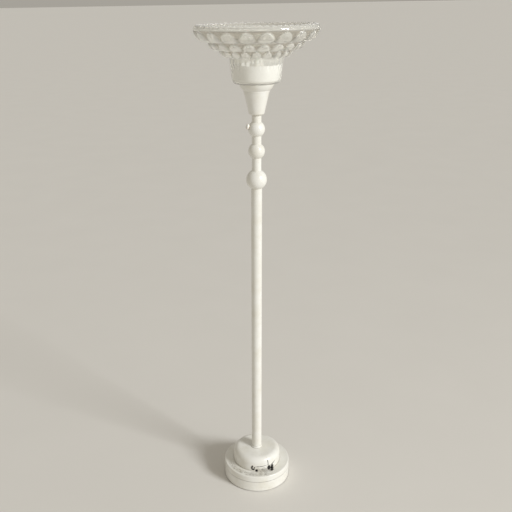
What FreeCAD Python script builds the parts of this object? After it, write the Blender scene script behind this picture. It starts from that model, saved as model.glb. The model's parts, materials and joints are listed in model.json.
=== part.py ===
import FreeCAD, Part
import math
import os
import re
import Sketcher

# A torchiere floor lamp: a stepped, weighted round base, a straight pole, three turned balls
# separated by short tubes, a rotary switch in the top ball, a tapering husk with a bell-shaped cup,
# and a wide three-tiered pressed-glass bowl that holds an upright bulb.
# Millimetres. +Z is up and the origin is the middle of the base's underside. The front is -Y.

# The driving sizes. Each one goes into a cell of the sheet and every piece is bound to those cells.
SIZES = (
    # base
    ("base_radius", 128.5),
    ("base_height", 67.5),
    ("base_rim_round", 4.0),
    ("seam_height", 43.0),
    ("seam_gap", 0.8),
    ("seam_lip", 6.0),
    ("shell_wall", 1.5),
    ("felt_thickness", 2.0),
    ("felt_inset", 6.0),
    ("flange_width", 18.0),
    ("weight_height", 26.0),
    ("weight_gap", 6.0),
    ("weight_recess_radius", 20.0),
    ("weight_web", 6.0),
    ("wire_channel_width", 10.0),
    ("wire_channel_height", 11.0),
    ("plate_screw_circle", 70.0),
    ("plate_screw_radius", 2.0),
    ("plate_screw_head_radius", 3.5),
    ("plate_screw_length", 12.0),
    ("step_radius", 91.5),
    ("step_height", 55.0),
    ("step_round", 22.0),
    ("cover_inner_radius", 74.0),
    ("sleeve_radius", 9.0),
    # cord bushing in the back of the base
    ("bushing_flange_radius", 6.5),
    ("bushing_flange_thickness", 1.5),
    ("bushing_neck_radius", 4.4),
    ("bushing_bore_radius", 3.2),
    ("bushing_length", 7.0),
    # threaded pipes, nuts and washers
    ("pipe_radius", 5.0),
    ("pipe_bore_radius", 3.7),
    ("pipe_play", 0.25),
    ("pipe_end", 2.5),
    ("nut_corner_radius", 9.0),
    ("nut_height", 5.0),
    ("washer_radius", 13.0),
    ("washer_thickness", 1.5),
    # pole
    ("pole_radius", 19.1),
    ("pole_wall", 1.5),
    ("pole_length", 1063.5),
    ("insert_length", 20.0),
    ("collar_flare", 3.3),
    ("collar_height", 7.0),
    ("collar_land", 2.2),
    ("collar_play", 0.1),
    # balls and the tubes between them
    ("ball_large_radius", 35.8),
    ("ball_radius", 28.5),
    ("ball_wall", 2.0),
    ("ball_floor", 3.0),
    ("spacer_radius", 16.25),
    ("spacer_wall", 1.5),
    ("spacer_lower_length", 43.8),
    ("spacer_middle_length", 27.7),
    ("spacer_upper_length", 25.2),
    # rotary switch
    ("switch_heading", 198.0),
    ("switch_tilt", 73.0),
    ("switch_body_radius", 8.0),
    ("switch_body_start", 5.0),
    ("switch_body_gap", 3.5),
    ("switch_bushing_radius", 4.0),
    ("switch_flat_depth", 0.75),
    ("ring_nut_radius", 6.3),
    ("ring_nut_height", 2.2),
    ("shaft_radius", 2.5),
    ("shaft_play", 0.05),
    ("shaft_depth", 12.0),
    ("knob_radius", 9.0),
    ("knob_height", 8.2),
    ("knob_round", 3.0),
    ("knob_clearance", 1.4),
    ("knob_recess_radius", 7.2),
    ("knob_recess_depth", 2.0),
    ("knob_cap", 2.0),
    # husk and cup under the glass
    ("husk_foot_radius", 27.0),
    ("husk_foot_round", 6.5),
    ("husk_top_radius", 42.8),
    ("husk_height", 74.5),
    ("cup_foot_radius", 44.1),
    ("cup_collar_height", 4.0),
    ("cup_rim_radius", 58.4),
    ("cup_height", 25.5),
    ("cup_bulge_radius", 42.0),
    ("cup_seat_width", 5.0),
    ("gasket_thickness", 1.0),
    ("gasket_width", 3.6),
    # glass shade
    ("shade_hole_radius", 12.0),
    ("shade_floor", 6.0),
    ("shade_wall", 5.0),
    ("neck_foot_radius", 81.0),
    ("neck_foot_round", 14.0),
    ("neck_top_radius", 89.0),
    ("neck_height", 84.5),
    ("tier_low_radius", 123.5),
    ("tier_low_height", 22.3),
    ("tier_middle_radius", 157.6),
    ("tier_middle_height", 25.2),
    ("tier_top_radius", 204.3),
    ("tier_top_height", 38.5),
    ("tier_bulge_radius", 28.2),
    ("tier_top_bulge_radius", 43.8),
    ("rim_radius", 194.5),
    ("rim_height", 14.5),
    ("rim_bulge_radius", 20.0),
    # white inner cup and its bushing
    ("liner_foot_radius", 74.5),
    ("liner_foot_round", 9.0),
    ("liner_top_radius", 79.6),
    ("liner_height", 53.5),
    ("liner_wall", 1.2),
    ("shade_bushing_play", 0.2),
    ("shade_bushing_flange_radius", 20.0),
    ("shade_bushing_flange", 1.0),
    # lamp holder
    ("socket_hub_radius", 8.0),
    ("socket_hub_height", 8.0),
    ("socket_plate", 2.0),
    ("socket_radius", 20.0),
    ("socket_height", 40.0),
    ("socket_floor", 8.0),
    ("socket_screw_circle", 14.0),
    ("socket_screw_radius", 1.5),
    ("socket_screw_head_radius", 3.0),
    ("socket_screw_head", 2.0),
    ("socket_screw_length", 8.0),
    ("shell_bore_radius", 13.1),
    ("shell_sheet", 0.5),
    ("shell_height", 24.0),
    ("shell_play", 0.3),
    ("contact_radius", 3.5),
    ("contact_height", 2.5),
    ("contact_shank_radius", 1.5),
    # bulb
    ("bulb_cap_play", 0.1),
    ("bulb_cap_sheet", 0.6),
    ("bulb_cap_height", 26.0),
    ("bulb_tip_radius", 4.8),
    ("bulb_tip_height", 2.0),
    ("bulb_insulator_radius", 9.5),
    ("bulb_insulator_height", 3.0),
    ("bulb_radius", 30.0),
    ("bulb_height", 110.0),
    ("bulb_glass_wall", 0.8),
    ("bulb_throat_radius", 13.6),
    ("bulb_throat_height", 34.0),
    ("bulb_shoulder_radius", 24.0),
    ("bulb_throat_curve", 45.0),
    # supply wire inside the lamp
    ("wire_radius", 2.2),
    ("wire_height", 9.0),
    ("wire_bend", 10.0),
)

# Heights and radii that follow from the driving sizes, spelt as formulas of them.
FOLLOWING = {
    # base
    "flange_top": "felt_thickness + shell_wall",
    "flange_inner": "base_radius - flange_width",
    "shell_inner": "base_radius - shell_wall",
    "weight_radius": "shell_inner - weight_gap",
    "weight_top": "flange_top + weight_height",
    "recess_depth": "weight_height - weight_web",
    "step_top": "base_height + step_height",
    "washer_level": "flange_top + recess_depth - washer_thickness",
    "base_nut_level": "washer_level - nut_height",
    "pipe_hole": "pipe_radius + pipe_play",
    # pole
    "pole_bore": "pole_radius - pole_wall",
    "collar_radius": "pole_radius + collar_flare",
    "pole_top": "step_top + pole_length",
    "head_insert_level": "pole_top - insert_length",
    # balls
    "large_drop": "sqrt(ball_large_radius^2 - pole_radius^2)",
    "large_rise": "sqrt(ball_large_radius^2 - spacer_radius^2)",
    "ball_rise": "sqrt(ball_radius^2 - spacer_radius^2)",
    "spacer_lower_level": "pole_top + large_drop + large_rise",
    "ball_middle_level": "spacer_lower_level + spacer_lower_length",
    "spacer_middle_level": "ball_middle_level + 2 * ball_rise",
    "switch_ball_level": "spacer_middle_level + spacer_middle_length",
    "switch_centre": "switch_ball_level + ball_rise",
    "spacer_upper_level": "switch_ball_level + 2 * ball_rise",
    "low_nut_level": "switch_ball_level + ball_floor",
    "low_pipe_top": "low_nut_level + nut_height + pipe_end",
    "high_nut_level": "spacer_upper_level - ball_floor - nut_height",
    "high_pipe_level": "high_nut_level - pipe_end + 1",
    "switch_body_end": "ball_radius - switch_body_gap",
    "switch_seat": "ball_radius - switch_flat_depth",
    "knob_level": "switch_seat + knob_clearance",
    "knob_top": "knob_level + knob_height",
    # husk, cup and glass
    "husk_level": "spacer_upper_level + spacer_upper_length",
    "cup_level": "husk_level + husk_height",
    "cup_nut_level": "cup_level + shell_wall",
    "gasket_level": "cup_level + cup_height",
    "shade_level": "gasket_level + gasket_thickness",
    "tier_low_top": "neck_height + tier_low_height",
    "tier_middle_top": "tier_low_top + tier_middle_height",
    "tier_top_top": "tier_middle_top + tier_top_height",
    "rim_top": "tier_top_top + rim_height",
    "shade_floor_top": "shade_level + shade_floor",
    "liner_level": "shade_floor_top + shade_bushing_flange",
    "liner_nut_level": "liner_level + liner_wall",
    # lamp holder and bulb
    "socket_cap_level": "liner_nut_level + nut_height",
    "socket_plate_level": "socket_cap_level + socket_hub_height",
    "socket_level": "socket_plate_level + socket_plate",
    "socket_seat": "socket_level + socket_floor",
    "shell_outer": "shell_bore_radius + shell_sheet",
    "bulb_level": "socket_seat + contact_height",
    "bulb_cap_radius": "shell_bore_radius - bulb_cap_play",
    "bulb_cap_inner": "bulb_cap_radius - bulb_cap_sheet",
    "insulator_top": "bulb_tip_height + bulb_insulator_height",
    "cap_bevel_top": "insulator_top + bulb_cap_radius - bulb_insulator_radius",
    "bulb_centre": "bulb_height - bulb_radius",
    "bulb_shoulder_height": "bulb_centre - sqrt(bulb_radius^2 - bulb_shoulder_radius^2)",
}

PROBLEM_STATES = ("Invalid", "Error")
TINY = 1e-6

document = FreeCAD.newDocument("torchiere")
sheet = document.addObject("Spreadsheet::Sheet", "Sizes")
nodes = {}


def fill_sheet():
    """Put each driving size in the sheet, with its name beside it as the alias."""
    for row, (alias, size) in enumerate(SIZES, start=1):
        sheet.set("A%d" % row, alias)
        sheet.set("B%d" % row, str(size))
        sheet.setAlias("B%d" % row, alias)
    document.recompute()


def bind(formula):
    """Spell a formula out in the sheet's own cells."""
    def spell(word):
        name = word.group(0)
        if name in FOLLOWING:
            return "(" + bind(FOLLOWING[name]) + ")"
        return "Sizes." + name
    return re.sub(r"\b[a-z][a-z_]*\b(?!\()", spell, formula)


def number(formula):
    """The value that a formula has with the sizes in the sheet."""
    return float(sheet.evalExpression(bind(formula)))


def keep(label, piece, level=None):
    """Name a finished piece, stand it at its level and list it as a node of the lamp."""
    piece.Label = label
    if level is not None:
        piece.setExpression("Placement.Base.z", bind(level))
    nodes[label] = piece
    return piece


def origin_plane(body, role):
    """One of the three planes of a body's own origin."""
    return next(feature for feature in body.Origin.OriginFeatures if feature.Role == role)


def new_sketch(body, name, role):
    """An empty sketch on one of the body's origin planes."""
    sketch = body.newObject("Sketcher::SketchObject", name)
    sketch.AttachmentSupport = (origin_plane(body, role), [""])
    sketch.MapMode = "FlatFace"
    return sketch


def pin(sketch, edge, vertex, across, up):
    """Fix a corner at its bound distances across and up from the sketch's origin."""
    for kind, axis, formula in (("DistanceX", -2, across), ("DistanceY", -1, up)):
        distance = number(formula)
        if abs(distance) < TINY:
            sketch.addConstraint(Sketcher.Constraint("PointOnObject", edge, vertex, axis))
        else:
            rule = Sketcher.Constraint(kind, -1, 1, edge, vertex, distance)
            index = sketch.addConstraint(rule)
            sketch.setExpression("Constraints[%d]" % index, bind(formula))


def arc_between(start, end, radius, turning):
    """The short arc from start to end; 'left' turns anticlockwise and 'right' clockwise."""
    chord = end - start
    reach = math.sqrt(max(radius ** 2 - (chord.Length / 2) ** 2, 0.0))
    side = FreeCAD.Vector(-chord.y, chord.x, 0).normalize()
    centre = (start + end) / 2 + side * (reach if turning == "left" else -reach)
    first, last = (start, end) if turning == "left" else (end, start)
    begin = math.atan2(first.y - centre.y, first.x - centre.x)
    finish = math.atan2(last.y - centre.y, last.x - centre.x)
    circle = Part.Circle(centre, FreeCAD.Vector(0, 0, 1), radius)
    return Part.ArcOfCircle(circle, begin, finish)


def draw_outline(sketch, outline):
    """Draw a closed outline of (across, up) corners, each bound to the sheet.

    A corner with two more entries, a radius and 'left' or 'right', starts an arc to the next one.
    """
    corners = [FreeCAD.Vector(number(corner[0]), number(corner[1]), 0) for corner in outline]
    ends = []
    for index, corner in enumerate(outline):
        start = corners[index]
        end = corners[(index + 1) % len(corners)]
        if len(corner) == 2:
            sketch.addGeometry(Part.LineSegment(start, end), False)
            ends.append((1, 2))
        else:
            sketch.addGeometry(arc_between(start, end, number(corner[2]), corner[3]), False)
            ends.append((1, 2) if corner[3] == "left" else (2, 1))
    for index, corner in enumerate(outline):
        follower = (index + 1) % len(outline)
        joint = Sketcher.Constraint("Coincident", index, ends[index][1], follower, ends[follower][0])
        sketch.addConstraint(joint)
        pin(sketch, index, ends[index][0], corner[0], corner[1])
        if len(corner) == 4:
            rule = Sketcher.Constraint("Radius", index, number(corner[2]))
            sketch.setExpression("Constraints[%d]" % sketch.addConstraint(rule), bind(corner[2]))


def turned_body(name, outline):
    """A body revolved about its own Z axis from an outline of (radius, height) corners."""
    body = document.addObject("PartDesign::Body", name)
    sketch = new_sketch(body, name + "_outline", "XZ_Plane")
    draw_outline(sketch, outline)
    turning = body.newObject("PartDesign::Revolution", name + "_turning")
    turning.Profile = sketch
    turning.ReferenceAxis = (sketch, ["V_Axis"])
    turning.Angle = 360
    sketch.Visibility = False
    return body


def turned(label, level, outline):
    """A spun, lathe-turned or moulded round piece that stands at its level on the lamp's axis."""
    return keep(label, turned_body(label, outline), level)


def ring(label, level, inner, outer, height):
    """A plain round tube, washer or disc; an inner radius of "0" leaves it solid."""
    return turned(label, level, ((inner, "0"), (outer, "0"), (outer, height), (inner, height)))


def cylinder(name, radius, height, level="0"):
    """A Part cylinder on the lamp's axis, bound to the sheet."""
    piece = document.addObject("Part::Cylinder", name)
    piece.setExpression("Radius", bind(radius))
    piece.setExpression("Height", bind(height))
    piece.setExpression("Placement.Base.z", bind(level))
    return piece


def cut(name, base, tool):
    """One piece less another."""
    result = document.addObject("Part::Cut", name)
    result.Base = base
    result.Tool = tool
    return result


def hexagon_nut(label, level):
    """A hexagon nut on the threaded pipe; the thread is left plain at the pipe's own radius."""
    prism = document.addObject("Part::Prism", label + "_hexagon")
    prism.Polygon = 6
    prism.setExpression("Circumradius", bind("nut_corner_radius"))
    prism.setExpression("Height", bind("nut_height"))
    bore = cylinder(label + "_bore", "pipe_radius", "nut_height")
    keep(label, cut(label, prism, bore), level)


def threaded_pipe(label, level, top):
    """A length of threaded lamp pipe from one level to another, with the wire's bore."""
    ring(label, level, "pipe_bore_radius", "pipe_radius", "%s - (%s)" % (top, level))


def group_around(name, make_one, count, circle):
    """Equal copies of a piece round a circle about the Z axis, as separate solids in one object."""
    copies = []
    for index in range(count):
        angle = 360.0 * index / count + 180.0 / count
        piece = make_one("%s_%d" % (name, index + 1))
        piece.setExpression("Placement.Base.x", "%s * cos(%f deg)" % (bind(circle), angle))
        piece.setExpression("Placement.Base.y", "%s * sin(%f deg)" % (bind(circle), angle))
        copies.append(piece)
    group = document.addObject("Part::Compound", name)
    group.Links = copies
    return group


# ---- base -------------------------------------------------------------------------------------

def felt_pad():
    """The felt disc that the lamp stands on, glued under the flange and the plate."""
    ring("felt_pad", "0", "0", "base_radius - felt_inset", "felt_thickness")


def plate_screw(name):
    """One countersunk screw that holds the bottom plate to the weight, head flush below."""
    shank_length = "plate_screw_length - shell_wall"
    head = document.addObject("Part::Cone", name + "_head")
    head.setExpression("Radius1", bind("plate_screw_head_radius"))
    head.setExpression("Radius2", bind("plate_screw_radius"))
    head.setExpression("Height", bind("shell_wall"))
    shank = cylinder(name + "_shank", "plate_screw_radius", shank_length, "shell_wall")
    screw = document.addObject("Part::MultiFuse", name)
    screw.Shapes = [head, shank]
    screw.setExpression("Placement.Base.z", bind("felt_thickness"))
    return screw


def base_plate_and_weight():
    """The steel bottom plate, the cast-iron weight that it closes, and the screws between them."""
    screws = group_around("base_plate_screws", plate_screw, 4, "plate_screw_circle")
    keep("base_plate_screws", screws)

    plate = turned_body("base_plate_blank", (
        ("0", "0"), ("flange_inner", "0"), ("flange_inner", "shell_wall"), ("0", "shell_wall")))
    plate.setExpression("Placement.Base.z", bind("felt_thickness"))
    keep("base_plate", cut("base_plate", plate, screws))

    casting = turned_body("base_casting", (
        ("weight_recess_radius", "0"),
        ("weight_radius", "0"),
        ("weight_radius", "weight_height"),
        ("pipe_hole", "weight_height"),
        ("pipe_hole", "recess_depth"),
        ("weight_recess_radius", "recess_depth")))
    casting.setExpression("Placement.Base.z", bind("flange_top"))
    channel = new_sketch(casting, "wire_channel_outline", "XY_Plane")
    half = "wire_channel_width / 2"
    draw_outline(channel, (
        ("-" + half, "weight_recess_radius / 2"), (half, "weight_recess_radius / 2"),
        (half, "base_radius"), ("-" + half, "base_radius")))
    groove = casting.newObject("PartDesign::Pocket", "wire_channel")
    groove.Profile = channel
    groove.Reversed = True
    groove.setExpression("Length", bind("wire_channel_height"))
    keep("base_weight", cut("base_weight", casting, screws))


def base_skirt():
    """The spun lower ring: a wall, the flange that carries the weight and a lip for the cover."""
    lip_outer = "shell_inner - shell_wall"
    body = turned_body("base_skirt", (
        ("flange_inner", "0"),
        ("base_radius - 1", "0"),
        ("base_radius", "1"),
        ("base_radius", "seam_height - seam_gap / 2 - 0.6 - felt_thickness"),
        ("base_radius - 0.6", "seam_height - seam_gap / 2 - felt_thickness"),
        ("shell_inner", "seam_height - seam_gap / 2 - felt_thickness"),
        ("shell_inner", "seam_height + seam_lip - felt_thickness"),
        (lip_outer, "seam_height + seam_lip - felt_thickness"),
        (lip_outer, "seam_height - seam_lip - felt_thickness"),
        ("shell_inner", "seam_height - seam_lip - felt_thickness"),
        ("shell_inner", "shell_wall"),
        ("flange_inner", "shell_wall")))
    entry = new_sketch(body, "cord_hole_outline", "XZ_Plane")
    entry.addGeometry(Part.Circle(FreeCAD.Vector(0, 1, 0), FreeCAD.Vector(0, 0, 1), 1), False)
    entry.addConstraint(Sketcher.Constraint("PointOnObject", 0, 3, -2))
    rule = Sketcher.Constraint("DistanceY", -1, 1, 0, 3, 1.0)
    index = entry.addConstraint(rule)
    entry.setExpression("Constraints[%d]" % index, bind("wire_height - felt_thickness"))
    index = entry.addConstraint(Sketcher.Constraint("Radius", 0, 1.0))
    entry.setExpression("Constraints[%d]" % index, bind("bushing_neck_radius"))
    hole = body.newObject("PartDesign::Pocket", "cord_hole")
    hole.Profile = entry
    hole.setExpression("Length", bind("base_radius + 1"))
    keep("base_skirt", body, "felt_thickness")


def cord_bushing():
    """The plastic bushing in the skirt's back, where a supply cord would enter."""
    wall_end = "bushing_flange_thickness + shell_wall"
    body = turned_body("cord_bushing", (
        ("bushing_bore_radius", "0"),
        ("bushing_flange_radius - 0.6", "0"),
        ("bushing_flange_radius", "0.6"),
        ("bushing_flange_radius", "bushing_flange_thickness"),
        ("bushing_neck_radius", "bushing_flange_thickness"),
        ("bushing_neck_radius", wall_end + " + 0.2"),
        ("bushing_neck_radius + 0.5", wall_end + " + 0.7"),
        ("bushing_neck_radius - 0.4", "bushing_length"),
        ("bushing_bore_radius", "bushing_length")))
    facing_in = FreeCAD.Rotation(FreeCAD.Vector(1, 0, 0), 90)
    place = FreeCAD.Vector(0, number("base_radius + bushing_flange_thickness"), number("wire_height"))
    body.Placement = FreeCAD.Placement(place, facing_in)
    keep("cord_bushing", body)


def base_cover():
    """The spun upper ring of the lower drum, with a rounded rim and a flat inward shelf."""
    rise = "base_height - seam_height - seam_gap / 2"
    turned("base_cover", "seam_height + seam_gap / 2", (
        ("base_radius - 0.6", "0"),
        ("base_radius", "0.6"),
        ("base_radius", rise + " - base_rim_round", "base_rim_round", "left"),
        ("base_radius - base_rim_round", rise),
        ("cover_inner_radius", rise),
        ("cover_inner_radius", rise + " - shell_wall"),
        ("base_radius - base_rim_round", rise + " - shell_wall",
         "base_rim_round - shell_wall", "right"),
        ("shell_inner", rise + " - base_rim_round"),
        ("shell_inner", "0")))


def base_step():
    """The spun upper drum with its large rounded shoulder and flat top."""
    flat = "step_radius - step_round"
    turned("base_step", "base_height", (
        ("step_radius - shell_wall", "0"),
        ("step_radius", "0"),
        ("step_radius", "step_height - step_round", "step_round", "left"),
        (flat, "step_height"),
        ("pipe_hole", "step_height"),
        ("pipe_hole", "step_height - shell_wall"),
        (flat, "step_height - shell_wall", "step_round - shell_wall", "right"),
        ("step_radius - shell_wall", "step_height - step_round")))


def base_clamp():
    """The nipple, sleeve, washer and nut that pull the base together under the pole."""
    ring("base_sleeve", "weight_top", "pipe_hole", "sleeve_radius",
         "step_top - shell_wall - (weight_top)")
    threaded_pipe("base_nipple", "base_nut_level - 0.5", "step_top + insert_length - 2")
    ring("base_washer", "washer_level", "pipe_hole", "washer_radius", "washer_thickness")
    hexagon_nut("base_nut", "base_nut_level")


# ---- pole and stem ----------------------------------------------------------------------------

def pole():
    """The long steel tube, its foot collar and the threaded inserts in its two ends."""
    turned("pole_collar", "step_top", (
        ("pole_radius + collar_play", "0"),
        ("collar_radius", "0"),
        ("collar_radius", "collar_land", "collar_height - collar_land", "right"),
        ("pole_radius + 0.6", "collar_height"),
        ("pole_radius + collar_play", "collar_height")))
    ring("pole_tube", "step_top", "pole_bore", "pole_radius", "pole_length")
    ring("pole_foot_insert", "step_top", "pipe_radius", "pole_bore", "insert_length")
    ring("pole_head_insert", "head_insert_level", "pipe_radius", "pole_bore", "insert_length")


def ball_outline(radius, foot, head, foot_radius, head_radius):
    """A hollow spun ball cut flat at foot and head, each closed by a floor with a pipe hole.

    foot and head are the cuts' distances from the middle, and the outline starts at the foot.
    """
    inside = "(%s - ball_wall)" % radius
    foot_floor = "%s - ball_floor" % foot
    head_floor = "%s - ball_floor" % head
    return (
        ("pipe_hole", "0"),
        (foot_radius, "0", radius, "left"),
        (head_radius, "%s + %s" % (foot, head)),
        ("pipe_hole", "%s + %s" % (foot, head)),
        ("pipe_hole", "%s + %s" % (foot, head_floor)),
        ("sqrt(%s^2 - (%s)^2)" % (inside, head_floor), "%s + %s" % (foot, head_floor),
         inside, "right"),
        ("sqrt(%s^2 - (%s)^2)" % (inside, foot_floor), "ball_floor"),
        ("pipe_hole", "ball_floor"))


def stem():
    """Two plain balls, the tubes between the balls, and the pipes and nuts that clamp them."""
    spacer_bore = "spacer_radius - spacer_wall"
    turned("ball_large", "pole_top", ball_outline(
        "ball_large_radius", "large_drop", "large_rise", "pole_radius", "spacer_radius"))
    ring("spacer_lower", "spacer_lower_level", spacer_bore, "spacer_radius", "spacer_lower_length")
    turned("ball_middle", "ball_middle_level", ball_outline(
        "ball_radius", "ball_rise", "ball_rise", "spacer_radius", "spacer_radius"))
    ring("spacer_middle", "spacer_middle_level", spacer_bore, "spacer_radius",
         "spacer_middle_length")
    ring("spacer_upper", "spacer_upper_level", spacer_bore, "spacer_radius", "spacer_upper_length")
    threaded_pipe("stem_pipe_lower", "head_insert_level", "low_pipe_top")
    threaded_pipe("stem_pipe_upper", "high_pipe_level", "socket_cap_level + socket_hub_height")
    hexagon_nut("stem_nut_lower", "low_nut_level")
    hexagon_nut("stem_nut_upper", "high_nut_level")


# ---- rotary switch ----------------------------------------------------------------------------

def place_on_switch_axis(piece):
    """Stand a piece made along +Z on the switch's axis, measured from the switch ball's middle."""
    place = "create(<<placement>>; create(<<vector>>; 0; 0; %s); create(<<rotation>>; %s; %s; 0))"
    centre, heading, tilt = bind("switch_centre"), bind("switch_heading"), bind("switch_tilt")
    piece.setExpression("Placement", place % (centre, heading, tilt))


def switch_piece(label, outline):
    """A round switch piece whose heights are distances from the switch ball's middle."""
    body = turned_body(label, outline)
    place_on_switch_axis(body)
    return keep(label, body)


def switch_ball():
    """The top ball, bored on one side for the switch's bushing, with a flat for its ring nut."""
    hollow = turned_body("switch_ball_blank", ball_outline(
        "ball_radius", "ball_rise", "ball_rise", "spacer_radius", "spacer_radius"))
    hollow.setExpression("Placement.Base.z", bind("switch_ball_level"))
    drill = turned_body("switch_drill", (
        ("0", "switch_body_end"),
        ("switch_bushing_radius", "switch_body_end"),
        ("switch_bushing_radius", "switch_seat"),
        ("ring_nut_radius + 1", "switch_seat"),
        ("ring_nut_radius + 1", "knob_top"),
        ("0", "knob_top")))
    place_on_switch_axis(drill)
    keep("switch_ball", cut("switch_ball", hollow, drill))


def switch():
    """The rotary switch inside the ball, its ring nut outside, and the shaft and knob that turn."""
    shaft_bore = "shaft_radius + shaft_play"
    switch_piece("switch_housing", (
        ("0", "switch_body_start"),
        ("switch_body_radius", "switch_body_start"),
        ("switch_body_radius", "switch_body_end"),
        (shaft_bore, "switch_body_end"),
        (shaft_bore, "shaft_depth - 0.5"),
        ("0", "shaft_depth - 0.5")))
    bushing_end = "switch_seat + ring_nut_height"
    switch_piece("switch_bushing", (
        (shaft_bore, "switch_body_end"),
        ("switch_bushing_radius", "switch_body_end"),
        ("switch_bushing_radius", bushing_end),
        (shaft_bore, bushing_end)))
    switch_piece("switch_ring_nut", (
        ("switch_bushing_radius", "switch_seat"),
        ("ring_nut_radius", "switch_seat"),
        ("ring_nut_radius", bushing_end),
        ("switch_bushing_radius", bushing_end)))
    shaft_end = "knob_top - knob_cap"
    switch_piece("switch_shaft", (
        ("0", "shaft_depth"), ("shaft_radius", "shaft_depth"),
        ("shaft_radius", shaft_end), ("0", shaft_end)))
    recess_top = "knob_level + knob_recess_depth"
    switch_piece("switch_knob", (
        ("knob_recess_radius", "knob_level"),
        ("knob_radius - 0.6", "knob_level"),
        ("knob_radius", "knob_level + 0.6"),
        ("knob_radius", "knob_top - knob_round", "knob_round", "left"),
        ("knob_radius - knob_round", "knob_top"),
        ("0", "knob_top"),
        ("0", shaft_end),
        ("shaft_radius", shaft_end),
        ("shaft_radius", recess_top),
        ("knob_recess_radius", recess_top)))


# ---- husk, cup and glass ----------------------------------------------------------------------

def husk():
    """The tapering spun husk above the stem, with a rounded foot."""
    foot_flat = "husk_foot_radius - husk_foot_round"
    turned("husk", "husk_level", (
        ("pipe_hole", "0"),
        (foot_flat, "0", "husk_foot_round", "left"),
        ("husk_foot_radius", "husk_foot_round"),
        ("husk_top_radius", "husk_height"),
        ("husk_top_radius - shell_wall", "husk_height"),
        ("husk_foot_radius - shell_wall", "husk_foot_round",
         "husk_foot_round - shell_wall", "right"),
        (foot_flat, "shell_wall"),
        ("pipe_hole", "shell_wall")))


def bell_cup():
    """The bell-shaped cup whose in-turned rim carries the glass."""
    seat_inner = "cup_rim_radius - cup_seat_width"
    turned("bell_cup", "cup_level", (
        ("pipe_hole", "0"),
        ("cup_foot_radius - 0.8", "0"),
        ("cup_foot_radius", "0.8"),
        ("cup_foot_radius", "cup_collar_height", "cup_bulge_radius", "left"),
        ("cup_rim_radius", "cup_height"),
        (seat_inner, "cup_height"),
        (seat_inner, "cup_height - shell_wall"),
        ("cup_rim_radius - 2 * shell_wall", "cup_height - shell_wall",
         "cup_bulge_radius", "right"),
        ("cup_foot_radius - shell_wall", "cup_collar_height + 1"),
        ("cup_foot_radius - shell_wall", "shell_wall"),
        ("pipe_hole", "shell_wall")))
    hexagon_nut("cup_nut", "cup_nut_level")
    ring("shade_gasket", "gasket_level", "cup_rim_radius - gasket_width", "cup_rim_radius - 0.3",
         "gasket_thickness")


def shade_glass():
    """The pressed-glass bowl: a cup-shaped neck with a floor, and three tiers that step outwards.

    The lobes pressed into each tier lie inside this envelope.
    """
    inner_round = "neck_foot_round - shade_wall"
    foot_flat = "neck_foot_radius - neck_foot_round"
    turned("shade_glass", "shade_level", (
        ("shade_hole_radius", "0"),
        (foot_flat, "0", "neck_foot_round", "left"),
        ("neck_foot_radius", "neck_foot_round"),
        ("neck_top_radius", "neck_height", "tier_bulge_radius", "left"),
        ("tier_low_radius", "tier_low_top", "tier_bulge_radius", "left"),
        ("tier_middle_radius", "tier_middle_top", "tier_top_bulge_radius", "left"),
        ("tier_top_radius", "tier_top_top", "rim_bulge_radius", "left"),
        ("rim_radius", "rim_top"),
        ("rim_radius - shade_wall", "rim_top", "rim_bulge_radius", "right"),
        ("tier_top_radius - shade_wall", "tier_top_top + 2", "tier_top_bulge_radius", "right"),
        ("tier_middle_radius - shade_wall", "tier_middle_top + shade_wall",
         "tier_bulge_radius", "right"),
        ("tier_low_radius - shade_wall", "tier_low_top + shade_wall",
         "tier_bulge_radius", "right"),
        ("neck_top_radius - shade_wall", "neck_height + shade_wall"),
        ("neck_foot_radius - shade_wall", "shade_floor + %s" % inner_round,
         inner_round, "right"),
        (foot_flat, "shade_floor"),
        ("shade_hole_radius", "shade_floor")))


def liner():
    """The white spun cup inside the glass neck, its bushing in the glass and the nut on top."""
    spigot = "shade_hole_radius - shade_bushing_play"
    ring_height = "shade_floor - 1"
    turned("shade_bushing", "shade_level + 1", (
        ("pipe_hole", "0"),
        (spigot, "0"),
        (spigot, ring_height),
        ("shade_bushing_flange_radius", ring_height),
        ("shade_bushing_flange_radius", ring_height + " + shade_bushing_flange"),
        ("pipe_hole", ring_height + " + shade_bushing_flange")))
    foot_flat = "liner_foot_radius - liner_foot_round"
    turned("liner_cup", "liner_level", (
        ("pipe_hole", "0"),
        (foot_flat, "0", "liner_foot_round", "left"),
        ("liner_foot_radius", "liner_foot_round"),
        ("liner_top_radius", "liner_height"),
        ("liner_top_radius - liner_wall", "liner_height"),
        ("liner_foot_radius - liner_wall", "liner_foot_round",
         "liner_foot_round - liner_wall", "right"),
        (foot_flat, "liner_wall"),
        ("pipe_hole", "liner_wall")))
    hexagon_nut("liner_nut", "liner_nut_level")


# ---- lamp holder and bulb ---------------------------------------------------------------------

def socket_screw(name):
    """One screw up through the holder's cap into the porcelain."""
    head = cylinder(name + "_head", "socket_screw_head_radius", "socket_screw_head")
    shank = cylinder(name + "_shank", "socket_screw_radius", "socket_screw_length",
                     "socket_screw_head")
    screw = document.addObject("Part::MultiFuse", name)
    screw.Shapes = [head, shank]
    screw.setExpression("Placement.Base.z", bind("socket_plate_level - socket_screw_head"))
    return screw


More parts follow.
